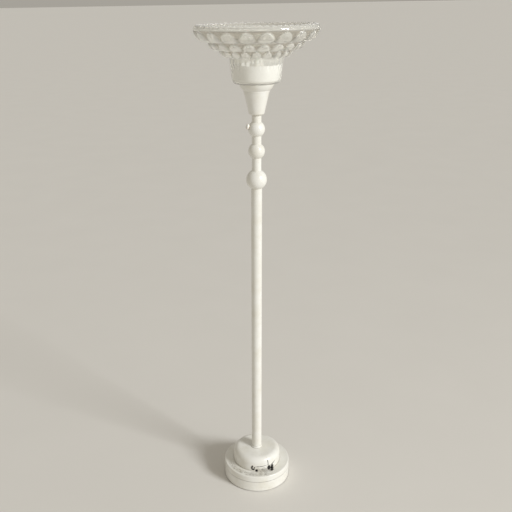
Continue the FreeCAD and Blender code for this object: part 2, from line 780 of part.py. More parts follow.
def socket():
    """The porcelain lamp holder: metal cap on the pipe, body, screw shell and centre contact."""
    screws = group_around("socket_screws", socket_screw, 2, "socket_screw_circle")
    keep("socket_screws", screws)

    cap = turned_body("socket_cap_blank", (
        ("pipe_radius", "0"),
        ("socket_hub_radius", "0"),
        ("socket_hub_radius", "socket_hub_height"),
        ("socket_radius", "socket_hub_height"),
        ("socket_radius", "socket_hub_height + socket_plate"),
        ("pipe_radius", "socket_hub_height + socket_plate")))
    cap.setExpression("Placement.Base.z", bind("socket_cap_level"))
    keep("socket_cap", cut("socket_cap", cap, screws))

    cavity = "shell_outer + shell_play"
    porcelain = turned_body("socket_body_blank", (
        ("contact_shank_radius", "0"),
        ("socket_radius", "0"),
        ("socket_radius", "socket_height - 2", "2", "left"),
        ("socket_radius - 2", "socket_height"),
        (cavity, "socket_height"),
        (cavity, "socket_floor"),
        ("contact_shank_radius", "socket_floor")))
    porcelain.setExpression("Placement.Base.z", bind("socket_level"))
    keep("socket_body", cut("socket_body", porcelain, screws))

    turned("socket_shell", "socket_seat", (
        ("bulb_insulator_radius", "0"),
        ("shell_outer", "0"),
        ("shell_outer", "shell_height"),
        ("shell_bore_radius", "shell_height"),
        ("shell_bore_radius", "shell_sheet"),
        ("bulb_insulator_radius", "shell_sheet")))
    turned("socket_contact", "socket_level", (
        ("0", "0"),
        ("contact_shank_radius", "0"),
        ("contact_shank_radius", "socket_floor"),
        ("contact_radius", "socket_floor"),
        ("contact_radius", "socket_floor + contact_height - 0.8", "0.8", "left"),
        ("contact_radius - 0.8", "socket_floor + contact_height"),
        ("0", "socket_floor + contact_height")))


def bulb():
    """The bulb: centre contact, black insulator, threaded cap and frosted pear-shaped glass."""
    turned("bulb_contact", "bulb_level", (
        ("0", "0"),
        ("bulb_tip_radius - 1.2", "0", "1.2", "left"),
        ("bulb_tip_radius", "1.2"),
        ("bulb_tip_radius", "bulb_tip_height"),
        ("0", "bulb_tip_height")))
    turned("bulb_insulator", "bulb_level", (
        ("0", "bulb_tip_height"),
        ("bulb_tip_radius", "bulb_tip_height"),
        ("bulb_insulator_radius", "insulator_top"),
        ("bulb_insulator_radius - bulb_cap_sheet", "insulator_top + bulb_cap_sheet"),
        ("0", "insulator_top + bulb_cap_sheet")))
    turned("bulb_cap", "bulb_level", (
        ("bulb_insulator_radius", "insulator_top"),
        ("bulb_cap_radius", "cap_bevel_top"),
        ("bulb_cap_radius", "bulb_cap_height"),
        ("bulb_cap_inner", "bulb_cap_height"),
        ("bulb_cap_inner", "cap_bevel_top + bulb_cap_sheet / 2"),
        ("bulb_insulator_radius - bulb_cap_sheet", "insulator_top + bulb_cap_sheet")))
    wall = "bulb_glass_wall"
    inner_shoulder = "sqrt((bulb_radius - %s)^2 - (bulb_shoulder_radius - %s)^2)" % (wall, wall)
    turned("bulb_glass", "bulb_level", (
        ("bulb_cap_inner", "bulb_cap_height - 10"),
        ("bulb_cap_inner", "bulb_cap_height"),
        ("bulb_throat_radius", "bulb_throat_height", "bulb_throat_curve", "right"),
        ("bulb_shoulder_radius", "bulb_shoulder_height", "bulb_radius", "left"),
        ("0", "bulb_height"),
        ("0", "bulb_height - %s" % wall, "bulb_radius - %s" % wall, "right"),
        ("bulb_shoulder_radius - %s" % wall, "bulb_centre - %s" % inner_shoulder,
         "bulb_throat_curve", "left"),
        ("bulb_throat_radius - %s" % wall, "bulb_throat_height"),
        ("bulb_cap_inner - %s" % wall, "bulb_cap_height"),
        ("bulb_cap_inner - %s" % wall, "bulb_cap_height - 10")))


def supply_wire():
    """The sheathed two-core wire from the bushing, under the weight and up to the lamp holder."""
    body = document.addObject("PartDesign::Body", "supply_wire")
    start = "base_radius + bushing_flange_thickness - bushing_length"
    route = new_sketch(body, "wire_route", "YZ_Plane")
    points = [FreeCAD.Vector(number(across), number(up), 0) for across, up in (
        (start, "wire_height"), ("wire_bend", "wire_height"),
        ("0", "wire_height + wire_bend"), ("0", "socket_level"))]
    route.addGeometry(Part.LineSegment(points[0], points[1]), False)
    route.addGeometry(arc_between(points[1], points[2], number("wire_bend"), "right"), False)
    route.addGeometry(Part.LineSegment(points[2], points[3]), False)
    route.addConstraint(Sketcher.Constraint("Coincident", 0, 2, 1, 2))
    route.addConstraint(Sketcher.Constraint("Coincident", 1, 1, 2, 1))
    pin(route, 0, 1, start, "wire_height")
    pin(route, 0, 2, "wire_bend", "wire_height")
    pin(route, 2, 1, "0", "wire_height + wire_bend")
    pin(route, 2, 2, "0", "socket_level")
    index = route.addConstraint(Sketcher.Constraint("Radius", 1, number("wire_bend")))
    route.setExpression("Constraints[%d]" % index, bind("wire_bend"))

    section = new_sketch(body, "wire_section", "XZ_Plane")
    section.setExpression("AttachmentOffset.Base.z", bind("-(%s)" % start))
    section.addGeometry(Part.Circle(FreeCAD.Vector(0, 1, 0), FreeCAD.Vector(0, 0, 1), 1), False)
    section.addConstraint(Sketcher.Constraint("PointOnObject", 0, 3, -2))
    index = section.addConstraint(Sketcher.Constraint("DistanceY", -1, 1, 0, 3, 1.0))
    section.setExpression("Constraints[%d]" % index, bind("wire_height"))
    index = section.addConstraint(Sketcher.Constraint("Radius", 0, 1.0))
    section.setExpression("Constraints[%d]" % index, bind("wire_radius"))
    sweep = body.newObject("PartDesign::AdditivePipe", "wire_sweep")
    sweep.Profile = section
    sweep.Spine = route
    keep("supply_wire", body)


def check_document():
    """Stop if any object failed to build or any node has no valid shape."""
    for item in document.Objects:
        broken = [state for state in PROBLEM_STATES if state in item.State]
        if broken:
            raise RuntimeError("%s is %s" % (item.Label, ", ".join(broken)))
    for label, piece in nodes.items():
        if piece.Shape.isNull() or not piece.Shape.isValid() or not piece.Shape.Solids:
            raise RuntimeError("%s has no valid solid" % label)


def write_parts():
    """Write each node's shape to its own STEP file."""
    os.makedirs("parts", exist_ok=True)
    for label, piece in nodes.items():
        piece.Shape.exportStep(os.path.join("parts", label + ".step"))


fill_sheet()
felt_pad()
base_plate_and_weight()
base_skirt()
cord_bushing()
base_cover()
base_step()
base_clamp()
pole()
stem()
switch_ball()
switch()
husk()
bell_cup()
shade_glass()
liner()
socket()
bulb()
supply_wire()
document.recompute()
check_document()
write_parts()
print("%d nodes written" % len(nodes))
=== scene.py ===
import json
import math

import bpy
from mathutils import Matrix, Vector, noise


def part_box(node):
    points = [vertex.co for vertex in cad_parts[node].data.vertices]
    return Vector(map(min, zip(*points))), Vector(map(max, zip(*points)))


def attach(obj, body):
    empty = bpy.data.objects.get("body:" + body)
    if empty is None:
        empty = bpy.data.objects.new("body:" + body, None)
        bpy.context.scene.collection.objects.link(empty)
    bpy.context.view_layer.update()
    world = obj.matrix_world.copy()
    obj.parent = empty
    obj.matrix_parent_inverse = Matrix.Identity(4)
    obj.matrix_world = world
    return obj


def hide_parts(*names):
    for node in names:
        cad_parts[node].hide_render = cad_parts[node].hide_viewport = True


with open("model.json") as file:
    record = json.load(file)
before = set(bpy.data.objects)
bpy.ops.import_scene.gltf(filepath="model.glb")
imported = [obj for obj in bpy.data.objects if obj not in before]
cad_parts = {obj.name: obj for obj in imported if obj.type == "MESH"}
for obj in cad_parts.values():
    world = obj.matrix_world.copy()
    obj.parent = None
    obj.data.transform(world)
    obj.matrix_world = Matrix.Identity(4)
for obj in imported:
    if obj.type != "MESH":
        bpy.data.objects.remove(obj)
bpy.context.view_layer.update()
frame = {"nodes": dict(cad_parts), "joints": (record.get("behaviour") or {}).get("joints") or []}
cad = frame["nodes"]
MM = 0.001

# ---- Felt pad ----
# A round of wool felt glued under the base so that it doesn't scratch the floor. It is die-cut from
# pressed, unwoven wool, so its face is a mat of short fibres and its cut edge is a little furry.


def srgb(code):
    """Turns an sRGB hex colour into the linear colour that a shader works in."""
    parts = [int(code[i:i + 2], 16) / 255 for i in (1, 3, 5)]
    return tuple(p / 12.92 if p <= 0.04045 else ((p + 0.055) / 1.055) ** 2.4 for p in parts) + (1,)


def add(tree, kind, settings):
    """Adds a node. A key is an option or an input, and a value is its setting or the socket wired to it."""
    made = tree.nodes.new("ShaderNode" + kind)
    for key, value in settings.items():
        if isinstance(value, bpy.types.NodeSocket):
            tree.links.new(value, made.inputs[key])
        elif isinstance(key, str) and hasattr(made, key):
            setattr(made, key, value)
        else:
            made.inputs[key].default_value = value
    return made


def finish(name, settings):
    """Starts a material: its node tree, its shader with fixed settings, and the piece's own coordinates."""
    material = bpy.data.materials.new(name)
    material.use_nodes = True
    tree = material.node_tree
    shader = tree.nodes["Principled BSDF"]
    for key, value in settings.items():
        shader.inputs[key].default_value = value
    return material, tree, shader, add(tree, "TexCoord", {}).outputs["Object"]


def blotches(tree, place, size, detail=4.0, rough=0.5):
    """Cloudy noise whose patches are about size metres across."""
    cloud = add(tree, "TexNoise", {"Vector": place, "Scale": 1 / size, "Detail": detail, "Roughness": rough})
    return cloud.outputs["Fac"]


def between(tree, fac, low, high, start, end):
    """Stretches fac from the range low..high to the range start..end, held at both ends."""
    return add(tree, "MapRange", {"Value": fac, "From Min": low, "From Max": high,
                                  "To Min": start, "To Max": end}).outputs["Result"]


def blend(tree, fac, first, second):
    """Mixes two colours, each a hex code or a socket."""
    first, second = (srgb(c) if isinstance(c, str) else c for c in (first, second))
    return add(tree, "MixRGB", {"Fac": fac, "Color1": first, "Color2": second}).outputs["Color"]


def emboss(tree, shader, height, depth, strength=1.0):
    """Wires height, from 0 to 1, to the shader as relief that is depth metres deep."""
    bump = add(tree, "Bump", {"Height": height, "Distance": depth, "Strength": strength})
    tree.links.new(bump.outputs["Normal"], shader.inputs["Normal"])


def wear(material, *names):
    """Gives CAD pieces a finish in place of the frame's plain one."""
    for name in names:
        cad[name].material_slots[0].material = material


def surface(name, rows):
    """A smooth closed mesh through rows of points. Each row goes round the piece, and the rows follow its
    profile, the last one joined to the first."""
    across = len(rows[0])
    faces = []
    for i in range(len(rows)):
        here, following = i * across, (i + 1) % len(rows) * across
        for j in range(across):
            k = (j + 1) % across
            faces.append((here + j, here + k, following + k, following + j))
    mesh = bpy.data.meshes.new(name)
    mesh.from_pydata([p[:3] for row in rows for p in row], [], faces)
    mesh.polygons.foreach_set("use_smooth", [True] * len(faces))
    mesh.update()
    made = bpy.data.objects.new(name, mesh)
    bpy.context.scene.collection.objects.link(made)
    return made


def install(made, material, body, node):
    """Puts a finished piece on its body in place of a CAD node."""
    made.data.materials.append(material)
    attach(made, body)
    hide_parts(node)


felt_low, felt_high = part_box("felt_pad")
felt_radius = felt_high.x
felt_thick = felt_high.z - felt_low.z
FELT_FUZZ = 0.35 * MM
FELT_NAP = 0.12 * MM
FELT_EDGE = 0.97
RUFFLES_A_METRE = 160
FELT_COLUMNS = 240


def felt_point(turn, radius, height):
    """A point of the felt, pushed in by its uneven pressed fibres."""
    across = Vector((math.cos(turn) * radius, math.sin(turn) * radius, height))
    ruffle = 0.5 + 0.5 * noise.noise(across * RUFFLES_A_METRE)
    inward = FELT_FUZZ * ruffle * (1 if radius > FELT_EDGE * felt_radius else 0)
    side = 1 if height < felt_thick / 2 else -1
    return (across.x * (1 - inward / radius), across.y * (1 - inward / radius),
            felt_low.z + height + side * FELT_NAP * ruffle)


felt_profile = [(r * felt_radius, 0.0) for r in (0.004, 0.2, 0.4, 0.6, 0.8, 0.93, 0.985)]
felt_profile += [(felt_radius, 0.25 * felt_thick), (felt_radius, 0.6 * felt_thick)]
felt_profile += [(r * felt_radius, felt_thick) for r in (0.985, 0.8, 0.5, 0.2, 0.004)]
felt = surface("felt_round", [[felt_point(2 * math.pi * j / FELT_COLUMNS, r, h) for j in range(FELT_COLUMNS)]
                              for r, h in felt_profile])

# Wool felt: fibres about 0.3 mm apart, drawn at 0.6 mm so that they show, give a soft speckled green.
wool, tree, shader, place = finish("wool_felt", {"Roughness": 0.95, "Sheen Weight": 0.35,
                                                 "Sheen Roughness": 0.5})
fibre_mat = blotches(tree, place, 0.6 * MM, 6, 0.7)
tree.links.new(blend(tree, between(tree, fibre_mat, 0.3, 0.7, 0, 1), "#2b362a", "#4d5d49"),
               shader.inputs["Base Color"])
emboss(tree, shader, fibre_mat, 0.3 * MM)
install(felt, wool, "lamp", "felt_pad")

# ---- Base plate, base weight and the parts that pull the base together ----
# A pressed steel plate closes the base from below, with four pan-head screws up into the casting. The
# weight is a sand casting. A threaded nipple, a sleeve, a washer and a hexagon nut clamp the stack.

# Zinc-plated steel: bright grey with faint cloudy passivation and fine drawn scratches.
zinc, tree, shader, place = finish("zinc_plated_steel", {"Metallic": 1.0})
clouds = blotches(tree, place, 9 * MM, 5, 0.6)
tree.links.new(blend(tree, clouds, "#a9acab", "#cfd2d0"), shader.inputs["Base Color"])
tree.links.new(between(tree, clouds, 0.3, 0.7, 0.24, 0.42), shader.inputs["Roughness"])
drawn = add(tree, "Mapping", {"Vector": place, "Scale": (1, 1, 0.05)}).outputs["Vector"]
emboss(tree, shader, blotches(tree, drawn, 0.8 * MM, 3), 0.03 * MM, 0.6)
wear(zinc, "base_plate", "base_plate_screws", "base_sleeve", "base_nipple", "base_washer", "base_nut")

# Cast iron: moulding-sand grain about 0.8 mm across, dark oxide and a few rusty patches.
iron, tree, shader, place = finish("sand_cast_iron", {"Metallic": 0.4, "Roughness": 0.8})
sand = blotches(tree, place, 0.8 * MM, 5, 0.65)
rusty = between(tree, blotches(tree, place, 30 * MM, 5, 0.6), 0.56, 0.66, 0, 1)
dark = blend(tree, sand, "#1e1f21", "#47484a")
tree.links.new(blend(tree, rusty, dark, "#5c3a25"), shader.inputs["Base Color"])
emboss(tree, shader, sand, 0.5 * MM)
wear(iron, "base_weight")

# ---- Base skirt, cover and step ----
# Three spun steel shells make the stepped base: the skirt, the cover that drops over its lip and leaves
# a fine seam, and the rounded step on top. All are brush-painted in thick warm-white gloss enamel.

# Brushed gloss enamel: warm white, levelled to a soft 12 mm orange peel with faint brush marks along the
# piece, slightly yellowed in patches, glossy but not a mirror. Painted shade, from an occlusion node,
# darkens the inner corners and the joins between parts.
PAINT, PAINT_AGED = "#f3f2ec", "#eae7dc"


def enamel(name, streaks):
    """The lamp's paint. streaks stretches the brush marks along X, Y and Z."""
    material, tree, shader, place = finish(name, {"Coat Weight": 0.25, "Coat Roughness": 0.12, "IOR": 1.5})
    aged = between(tree, blotches(tree, place, 45 * MM, 5, 0.6), 0.4, 0.72, 0, 1)
    colour = blend(tree, aged, PAINT, PAINT_AGED)
    # Painted shade: the colour darkens towards #8e8573 where an occlusion node finds corners, recesses and
    # joins.
    painted_corner_shade = add(tree, "AmbientOcclusion", {"samples": 12, "Distance": 9 * MM}).outputs["AO"]
    colour = blend(tree, between(tree, painted_corner_shade, 0.3, 0.85, 0.6, 0), colour, "#8e8573")
    brushed = add(tree, "Mapping", {"Vector": place, "Scale": streaks}).outputs["Vector"]
    marks = blotches(tree, brushed, 2.2 * MM, 3, 0.55)
    peel = blotches(tree, place, 5 * MM, 2, 0.4)
    tree.links.new(between(tree, marks, 0.3, 0.7, 0.27, 0.36), shader.inputs["Roughness"])
    height = add(tree, "MixRGB", {"Fac": 0.5, "Color1": marks, "Color2": peel}).outputs["Color"]
    return material, tree, shader, place, colour, height


ivory, tree, shader, place, colour, height = enamel("brushed_ivory_enamel", (1, 1, 0.06))
tree.links.new(colour, shader.inputs["Base Color"])
emboss(tree, shader, height, 0.12 * MM, 0.5)

step_low, step_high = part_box("base_step")
step_radius = step_high.x
foot_height = step_low.z

# The worn base paint: the same enamel, with old damage at the front of the step's foot. A mark is given on
# the shell laid flat, in millimetres: the way round from the front, the height above the shelf (below 0 is
# out along the shelf), its two half sizes and its lean in degrees. Its outline wanders by RAGGED.
RAGGED = 6 * MM
CHIPS = ((-19, 17, 4.0, 8.5, -15), (-14, 8, 6.5, 4.0, 10), (-9, 15, 2.4, 3.4, 0), (-1, 3, 5.4, 6.0, 25),
         (50, 8, 7.5, 11.0, 10), (65, 5, 8.0, 12.0, -12), (58, -9, 6.5, 5.0, 0))
CRACKS = ((16, 21, 28, 1.1, 3), (46, 33, 1.9, 15, 5), (69, 21, 14, 1.8, 26), (30, 6, 16, 0.9, -8))
worn, tree, shader, place, colour, height = enamel("worn_ivory_enamel", (0.3, 0.3, 1))


def maths(operation, first, second=0.0, third=0.0):
    """One sum on the worn paint's tree."""
    return add(tree, "Math", {"operation": operation, 0: first, 1: second, 2: third}).outputs[0]


def joined(x=0.0, y=0.0, z=0.0):
    """Three numbers as a vector."""
    return add(tree, "CombineXYZ", {"X": x, "Y": y, "Z": z}).outputs["Vector"]


apart = add(tree, "SeparateXYZ", {"Vector": place}).outputs
reach = add(tree, "VectorMath", {"operation": "LENGTH", 0: joined(apart["X"], apart["Y"])}).outputs["Value"]
turn = maths("ARCTAN2", apart["X"], maths("MULTIPLY", apart["Y"], -1.0))
outward = maths("MAXIMUM", maths("SUBTRACT", reach, step_radius), 0.0)
rise = maths("SUBTRACT", maths("SUBTRACT", apart["Z"], foot_height), outward)
flat = joined(maths("MULTIPLY", turn, step_radius), rise)
wander = add(tree, "TexNoise", {"Vector": place, "Scale": 1 / (4 * MM), "Detail": 4.0}).outputs["Color"]
ragged = add(tree, "VectorMath", {"operation": "MULTIPLY_ADD", 0: wander, 1: (RAGGED, RAGGED, 0),
                                  2: flat}).outputs["Vector"]


def mark(half_wide, half_tall, across, up, lean):
    """How near a place is to a mark's middle: under 1 is inside it."""
    centre = (across * MM + RAGGED / 2, up * MM + RAGGED / 2, 0)
    local = add(tree, "Mapping", {"vector_type": "TEXTURE", "Vector": ragged, "Location": centre,
                                  "Rotation": (0, 0, math.radians(lean)),
                                  "Scale": (half_wide * MM, half_tall * MM, 1)}).outputs["Vector"]
    return add(tree, "VectorMath", {"operation": "LENGTH", 0: local}).outputs["Value"]


nearest = None
for across, up, half_wide, half_tall, lean in CHIPS + CRACKS:
    distance = mark(half_wide, half_tall, across, up, lean)
    nearest = distance if nearest is None else maths("MINIMUM", nearest, distance)
bare = between(tree, nearest, 0.85, 1.05, 1, 0)
edge = between(tree, nearest, 1.0, 1.5, 1, 0)

# Crazed paint round the damage and along the shelf's front edge: islands about 4 mm across, in patches.
islands = add(tree, "TexVoronoi", {"Vector": ragged, "Scale": 1 / (4 * MM), "feature": "DISTANCE_TO_EDGE"})
cracked = between(tree, islands.outputs["Distance"], 0.03, 0.2, 1, 0)
patches = between(tree, blotches(tree, place, 14 * MM), 0.35, 0.6, 0.25, 1)
front = maths("MULTIPLY", between(tree, turn, -1.35, -1.0, 0, 1), between(tree, turn, 0.35, 0.75, 1, 0))
shelf = maths("MULTIPLY", between(tree, outward, 8 * MM, 16 * MM, 0, 1),
              between(tree, rise, -34 * MM, -26 * MM, 0, 1))
foot = maths("MULTIPLY", between(tree, maths("ABSOLUTE", maths("SUBTRACT", turn, 0.33)), 0.25, 0.4, 1, 0),
             between(tree, maths("ABSOLUTE", maths("ADD", rise, 2 * MM)), 10 * MM, 20 * MM, 1, 0))
crazed = maths("MULTIPLY", maths("MULTIPLY", cracked, patches),
               maths("MAXIMUM", maths("MULTIPLY", front, shelf), foot))

# Painted shade along the seam between skirt and cover, rubbed paint round the chips,
# and near-black iron oxide in them.
from_seam = maths("ABSOLUTE", maths("SUBTRACT", apart["Z"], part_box("base_cover")[0].z))
# Painted shade: a thin dark line along the seam, where the cover's lip leaves a shaded gap.
painted_seam_shade = between(tree, from_seam, 0.4 * MM, 1.3 * MM, 1, 0)
colour = blend(tree, maths("MULTIPLY", painted_seam_shade, 0.8), colour, "#8b8376")
colour = blend(tree, maths("MULTIPLY", crazed, 0.9), colour, "#857d70")
colour = blend(tree, maths("MULTIPLY", edge, 0.45), colour, "#b9b0a0")
tree.links.new(blend(tree, bare, colour, "#14110f"), shader.inputs["Base Color"])
level = maths("SUBTRACT", maths("MULTIPLY", height, 0.25), maths("MULTIPLY", crazed, 0.6))
level = maths("SUBTRACT", level, bare)
emboss(tree, shader, level, 0.35 * MM)
wear(worn, "base_skirt", "base_cover", "base_step")

# ---- Cord bushing ----
# A moulded nylon grommet pressed into the back of the skirt, which keeps the supply cord off the metal.

# Moulded nylon: slightly cloudy cream, satin from the mould's spark-eroded face.
nylon, tree, shader, place = finish("moulded_nylon", {"Roughness": 0.42, "Subsurface Weight": 0.1,
                                                      "Subsurface Scale": 0.002})
grain = blotches(tree, place, 1.2 * MM, 3)
tree.links.new(blend(tree, grain, "#d2ccbd", "#dcd7ca"), shader.inputs["Base Color"])
emboss(tree, shader, grain, 0.05 * MM)
wear(nylon, "cord_bushing", "shade_bushing")

# ---- Pole ----
# A long straight steel tube with a threaded plug pressed into each end. A turned collar covers its foot.
# Tube and collar carry the same brushed enamel as the base.
wear(ivory, "pole_collar", "pole_tube")
wear(zinc, "pole_foot_insert", "pole_head_insert")

# ---- Balls and spacers ----
# Hollow steel balls, one large and two small, spun in halves and threaded on lamp pipe between short tubes.
# Hexagon nuts inside the top ball clamp them, and all are painted together.
wear(ivory, "ball_large", "spacer_lower", "ball_middle", "spacer_middle", "switch_ball", "spacer_upper")
wear(zinc, "stem_pipe_lower", "stem_pipe_upper", "stem_nut_lower", "stem_nut_upper")

# ---- Switch ----
# A rotary switch in the top ball: a black moulded housing, a brass bushing and ring nut through the ball's
# wall, and a brass shaft with a small moulded knob, turned by its ribbed edge.

# Turned brass: warm yellow, lacquer slightly dulled, fine tool rings.
brass, tree, shader, place = finish("turned_brass", {"Metallic": 1.0})
tarnish = blotches(tree, place, 6 * MM, 5, 0.6)
tree.links.new(blend(tree, between(tree, tarnish, 0.35, 0.75, 0, 1), "#d3b36a", "#a9884a"),
               shader.inputs["Base Color"])
tree.links.new(between(tree, tarnish, 0.3, 0.7, 0.2, 0.38), shader.inputs["Roughness"])
emboss(tree, shader, blotches(tree, place, 0.5 * MM, 2), 0.02 * MM, 0.5)
wear(brass, "switch_bushing", "switch_ring_nut", "switch_shaft")

# Moulded phenolic: near-black with brown wood-flour mottle, satin.
phenolic, tree, shader, place = finish("moulded_phenolic", {"Roughness": 0.38})
flour = between(tree, blotches(tree, place, 1.5 * MM, 6, 0.7), 0.5, 0.8, 0, 1)
tree.links.new(blend(tree, flour, "#0d0b0a", "#33231a"), shader.inputs["Base Color"])
wear(phenolic, "switch_housing")

# Moulded urea: clean white, glossy, with a little cloudiness in its depth.
urea, tree, shader, place = finish("moulded_urea", {"Roughness": 0.22, "Subsurface Weight": 0.03,
                                                    "Subsurface Scale": 0.001})
tree.links.new(blend(tree, blotches(tree, place, 3 * MM), "#efece3", "#f8f6f0"), shader.inputs["Base Color"])

switch_joint = next(j for j in frame["joints"] if j["name"] == "switch_turn")
switch_axis = Vector(switch_joint["axis"]).normalized()
switch_centre = Vector(switch_joint["pos_m"])
along = [(v.co - switch_centre).dot(switch_axis) for v in cad["switch_knob"].data.vertices]
knob_seat, knob_top = min(along), max(along)
KNOB_RADIUS = 9.0 * MM
KNOB_ROUND = 3.0 * MM
KNOB_RIBS = 20
KNOB_RIB_DEPTH = 0.45 * MM
KNOB_DIMPLE = 0.9 * MM
KNOB_BORE = 2.6 * MM
KNOB_RECESS_RADIUS = 7.2 * MM
KNOB_RECESS = 2.0 * MM
KNOB_TURNS = KNOB_RIBS * 8
ROUND_STEPS, DIMPLE_STEPS = 8, 9


def knob_row(radius, height, ribbed):
    """One ring of the knob, with its grip ribs cut in by ribbed, from 0 to 1."""
    ring = []
    for j in range(KNOB_TURNS):
        turned = 2 * math.pi * j / KNOB_TURNS
        cut = KNOB_RIB_DEPTH * ribbed * (0.5 - 0.5 * math.cos(KNOB_RIBS * turned)) ** 2
        ring.append(((radius - cut) * math.cos(turned), (radius - cut) * math.sin(turned), height))
    return ring


knob_rows = [knob_row(KNOB_BORE, knob_seat + KNOB_RECESS, 0),
             knob_row(KNOB_RECESS_RADIUS - 0.4 * MM, knob_seat + KNOB_RECESS, 0),
             knob_row(KNOB_RECESS_RADIUS - 0.1 * MM, knob_seat + KNOB_RECESS - 0.3 * MM, 0),
             knob_row(KNOB_RECESS_RADIUS, knob_seat, 0),
             knob_row(KNOB_RADIUS - 0.5 * MM, knob_seat, 0.3), knob_row(KNOB_RADIUS, knob_seat + 0.7 * MM, 1),
             knob_row(KNOB_RADIUS, knob_seat + 2.5 * MM, 1), knob_row(KNOB_RADIUS, knob_top - KNOB_ROUND, 1)]
for i in range(1, ROUND_STEPS + 1):
    bend = math.pi / 2 * i / ROUND_STEPS
    knob_rows.append(knob_row(KNOB_RADIUS - KNOB_ROUND + KNOB_ROUND * math.cos(bend),
                              knob_top - KNOB_ROUND + KNOB_ROUND * math.sin(bend),
                              max(0, 1 - 2 * i / ROUND_STEPS)))
for i in range(1, DIMPLE_STEPS + 1):
    share = 1 - i / (DIMPLE_STEPS + 0.05)
    knob_rows.append(knob_row((KNOB_RADIUS - KNOB_ROUND) * share,
                              knob_top - KNOB_DIMPLE * (1 - share ** 2) ** 2, 0))
knob_rows.append(knob_row(0.02 * MM, knob_top - KNOB_DIMPLE - 0.6 * MM, 0))
knob = surface("switch_knob_ribbed", knob_rows)
tilt = switch_axis.to_track_quat("Z", "Y").to_matrix().to_4x4()
knob.matrix_world = Matrix.Translation(switch_centre) @ tilt
install(knob, urea, "switch_rotor", "switch_knob")

# ---- Husk and bell cup ----
# A tapering spun husk hides the wiring pipe, and a bell-shaped cup on top of it carries the glass. A nut
# inside the cup pulls them down on the pipe.
wear(ivory, "husk", "bell_cup")
wear(zinc, "cup_nut")

# ---- Glass shade ----
# A heavy bowl pressed in one piece from clear soda glass: a straight neck under three bulging tiers of
# twenty petals each, a plain band and a scalloped rim. Fire polishing softens the mould's edges.
glass_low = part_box("shade_glass")[0]
PETALS = 20
TEETH = 60
COLUMNS = 24 * PETALS
# All these sizes are in millimetres, and each point is (radius, height above the shade's foot). Each tier has
# its foot, its top, its bulge, and where its petals stand.
TOOTH_DEPTH = 4.5
TIERS = (((89.0, 84.5), (123.5, 106.8), 28.2, 0.0), ((123.5, 106.8), (157.6, 132.0), 28.2, 0.5),
         ((157.6, 132.0), (204.3, 170.5), 43.8, 0.5))
PETAL_DEPTH = 6.0
PETAL_EDGE = 1.2
ARCH_START, ARCH_TOP = 0.12, 0.9
WALL, LEDGE = 5.0, 7.0
INNER_RELIEF = 0.3
NECK_FLUTE = 1.6
FOOT_ARC = ((67.0, 0.0), (80.7, 13.0), 14.0)
NECK_FOOT, NECK_TOP, NECK_ROWS = (81.0, 14.0), (89.0, 84.5), 12
BAND = (TIERS[-1][1], (194.5, 184.4), 20.0)
RIM = ((193.6, 185.0), (192.0, 185.0), (190.6, 184.4))
LIP_WIDER, LIP_DROP, LIP_ROWS = 7.9, 11.0, 5
BOWL_INSIDE_TOP = (198.9, 172.5)
NECK_INSIDE_TOP, NECK_TAPER = (84.0, 91.5), 0.115
FLUTE_ROWS, FLUTE_STEP = 8, 6.5
FLOOR_INSIDE = ((76.0, 14.0), (74.6, 9.5), (71.5, 6.8), (67.0, 6.0), (40.0, 6.0), (12.0, 6.0))


def arc(start, end, radius, count, skip=0):
    """Points along a bulging arc between two points of a profile, with their normals and shares of it."""
    (x0, z0), (x1, z1) = start, end
    chord = math.hypot(x1 - x0, z1 - z0)
    drop = math.sqrt(radius ** 2 - (chord / 2) ** 2)
    cx = (x0 + x1) / 2 - (z1 - z0) / chord * drop
    cz = (z0 + z1) / 2 + (x1 - x0) / chord * drop
    first, last = math.atan2(z0 - cz, x0 - cx), math.atan2(z1 - cz, x1 - cx)
    points = []
    for i in range(skip, count + 1):
        share = i / count
        angle = first + (last - first) * share
        points.append((cx + radius * math.cos(angle), cz + radius * math.sin(angle),
                       math.cos(angle), math.sin(angle), share))
    return points


def petal_cut(turned, share, shift):
    """How deep the mould leaves the glass below the tier's full bulge, in millimetres. Each petal is a dome
    that closes at ARCH_TOP of the tier's arc, on a ground that rises again to the tier's top."""
    across = ((turned * PETALS / (2 * math.pi) + shift + 0.5) % 1) * 2 - 1
    climb = max(0, share - ARCH_START) / (ARCH_TOP - ARCH_START)
    half = math.sqrt(max(1e-4, 1 - climb ** 3))
    ground = PETAL_EDGE + (PETAL_DEPTH - PETAL_EDGE) * min(1, (1 - share) / (1 - ARCH_TOP))
    return ground * min(1, abs(across) / half) ** 4 * min(1, share / ARCH_START)


def ring(radius, height, cut=None, normal=(1, 0)):
    """One ring of the glass, in metres, moved in along its normal by cut(turn) millimetres. The fourth number
    is how deep in a hollow a point lies, from 0 to 1."""
    row = []
    for j in range(COLUMNS):
        turned = 2 * math.pi * j / COLUMNS
        inset = cut(turned) if cut else 0
        r = (radius - inset * normal[0]) * MM
        z = glass_low.z + (height - inset * normal[1]) * MM
        row.append((r * math.sin(turned), -r * math.cos(turned), z, max(0, inset) / PETAL_DEPTH))
    return row


def tooth(turned):
    """How far the scalloped rim lies below its highest points, in millimetres."""
    across = ((turned * TEETH / (2 * math.pi)) % 1) * 2 - 1
    return TOOTH_DEPTH * across ** 2


def rim_ring(radius, height, share):
    """A ring near the rim, where share 1 follows the scallops fully. Its fourth number, down to -1, is the
    ground edge."""
    row = []
    for j in range(COLUMNS):
        turned = 2 * math.pi * j / COLUMNS
        r = radius * MM
        z = glass_low.z + (height - share * tooth(turned)) * MM
        row.append((r * math.sin(turned), -r * math.cos(turned), z, -max(0, share) ** 4))
    return row


def flute(turned):
    """The neck's inner flutes, in millimetres."""
    across = ((turned * PETALS / (2 * math.pi) + 0.5) % 1) * 2 - 1
    return NECK_FLUTE * across ** 2


